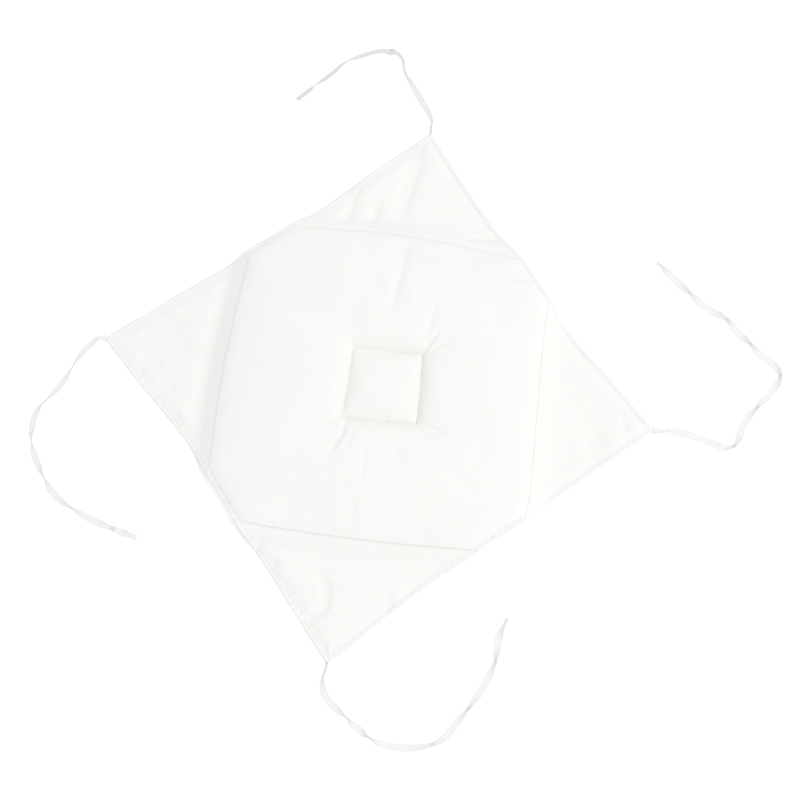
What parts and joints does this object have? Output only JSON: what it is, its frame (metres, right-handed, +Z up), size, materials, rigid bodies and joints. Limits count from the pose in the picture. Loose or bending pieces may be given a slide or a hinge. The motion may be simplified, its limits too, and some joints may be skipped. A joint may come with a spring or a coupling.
{
  "type": "face cradle cushion",
  "caption": "Square white cotton cushion cover with a padded octagon, a quilted square in the middle, unpadded corner flaps that fold along stitched seams, and a tape tie at each corner.",
  "frame": {"origin": "centre of the square cover, on the surface that it lies on", "axes": "+Z up; +X and +Y along the sides of the square, so the diagonal seams lie at 45 degrees to them"},
  "size_m": [0.7693, 0.7365, 0.03],
  "materials": {
    "cover_cloth": "matte white plain-weave cotton",
    "sewing_thread": "white cotton sewing thread",
    "wadding": "soft white fibre wadding",
    "tie_tape": "matte white woven cotton tape"
  },
  "bodies": {
    "cushion": {"top_panel": "cover_cloth", "bottom_panel": "cover_cloth", "wadding": "wadding", "quilting_stitch": "sewing_thread", "hem_stitch_pad": "sewing_thread", "seam_stitch_back_right": "sewing_thread", "seam_stitch_back_left": "sewing_thread", "seam_stitch_front_left": "sewing_thread", "seam_stitch_front_right": "sewing_thread"},
    "flap_back_right": {"flap_top_back_right": "cover_cloth", "flap_bottom_back_right": "cover_cloth", "hem_stitch_back_right": "sewing_thread", "tie_back_right": "tie_tape"},
    "flap_back_left": {"flap_top_back_left": "cover_cloth", "flap_bottom_back_left": "cover_cloth", "hem_stitch_back_left": "sewing_thread", "tie_back_left": "tie_tape"},
    "flap_front_left": {"flap_top_front_left": "cover_cloth", "flap_bottom_front_left": "cover_cloth", "hem_stitch_front_left": "sewing_thread", "tie_front_left": "tie_tape"},
    "flap_front_right": {"flap_top_front_right": "cover_cloth", "flap_bottom_front_right": "cover_cloth", "hem_stitch_front_right": "sewing_thread", "tie_front_right": "tie_tape"}
  },
  "joints": [
    {"name": "fold_back_right", "type": "hinge", "parent": "cushion", "child": "flap_back_right", "pos_m": [0.12587, 0.12587, 0.015], "axis": [0.7071, -0.7071, 0], "range_deg": [-95, 120]},
    {"name": "fold_back_left", "type": "hinge", "parent": "cushion", "child": "flap_back_left", "pos_m": [-0.12587, 0.12587, 0.015], "axis": [0.7071, 0.7071, 0], "range_deg": [-95, 120]},
    {"name": "fold_front_left", "type": "hinge", "parent": "cushion", "child": "flap_front_left", "pos_m": [-0.12587, -0.12587, 0.015], "axis": [-0.7071, 0.7071, 0], "range_deg": [-95, 120]},
    {"name": "fold_front_right", "type": "hinge", "parent": "cushion", "child": "flap_front_right", "pos_m": [0.12587, -0.12587, 0.015], "axis": [-0.7071, -0.7071, 0], "range_deg": [-95, 120]}
  ]
}
